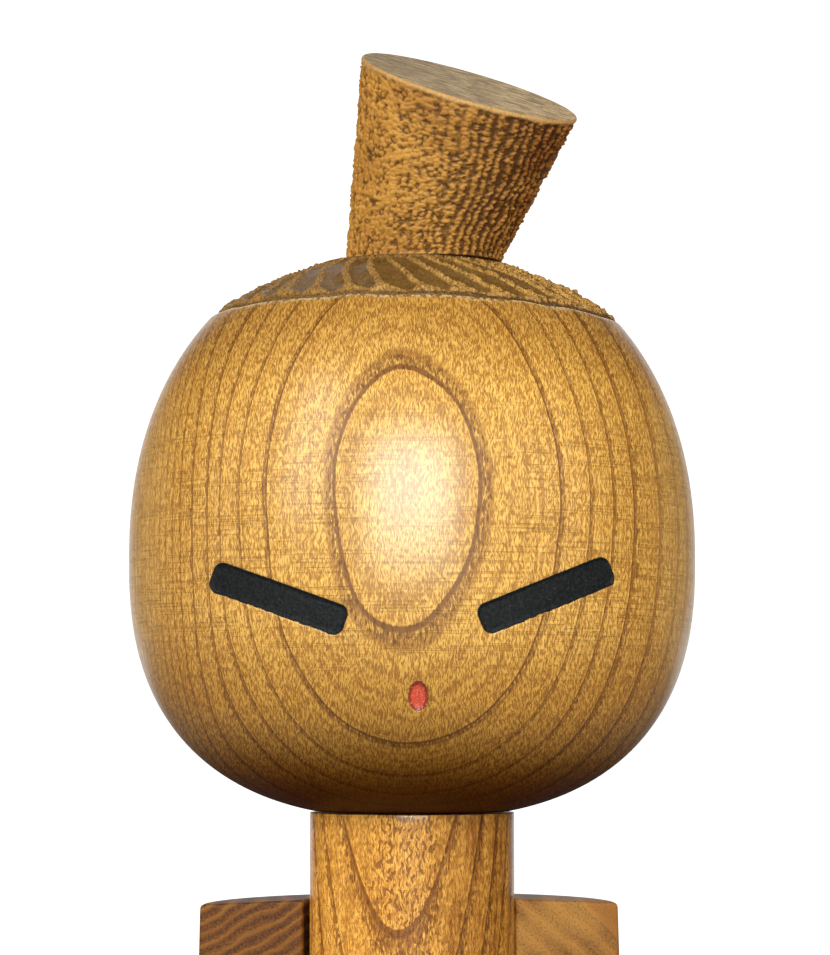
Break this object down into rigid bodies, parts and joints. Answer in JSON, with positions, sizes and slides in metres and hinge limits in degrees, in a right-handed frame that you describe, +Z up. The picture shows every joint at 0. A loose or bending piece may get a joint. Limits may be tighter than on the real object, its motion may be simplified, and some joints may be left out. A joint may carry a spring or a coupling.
{
  "type": "kokeshi doll",
  "caption": "Turned wooden kokeshi doll with a large round head that turns on its neck, a leaning topknot, a half-ring shoulder yoke and a flared foot.",
  "frame": {"origin": "centre of the flat foot that the doll stands on", "axes": "+Z up, the doll faces -Y, its left hand is on the +X side"},
  "size_m": [0.09, 0.09, 0.2234],
  "materials": {
    "turned_zelkova": "turned side grain under satin lacquer",
    "end_grain_zelkova": "sanded end grain under satin lacquer",
    "rough_zelkova": "rough torn flank with a smooth top",
    "dowel_wood": "bare hardwood",
    "black_paint": "matt brushed paint",
    "red_paint": "satin brushed paint"
  },
  "bodies": {
    "stand": {"robe": "turned_zelkova", "body_column": "turned_zelkova", "shoulder_yoke": "end_grain_zelkova", "yoke_dowels": "dowel_wood", "neck_peg": "dowel_wood"},
    "head": {"head": "turned_zelkova", "topknot": "rough_zelkova", "topknot_dowel": "dowel_wood", "left_eye_paint": "black_paint", "right_eye_paint": "black_paint", "mouth_paint": "red_paint"}
  },
  "joints": [
    {"name": "head_turn", "type": "hinge", "parent": "stand", "child": "head", "pos_m": [0, 0, 0.1015], "axis": [0, 0, 1], "continuous": true}
  ]
}
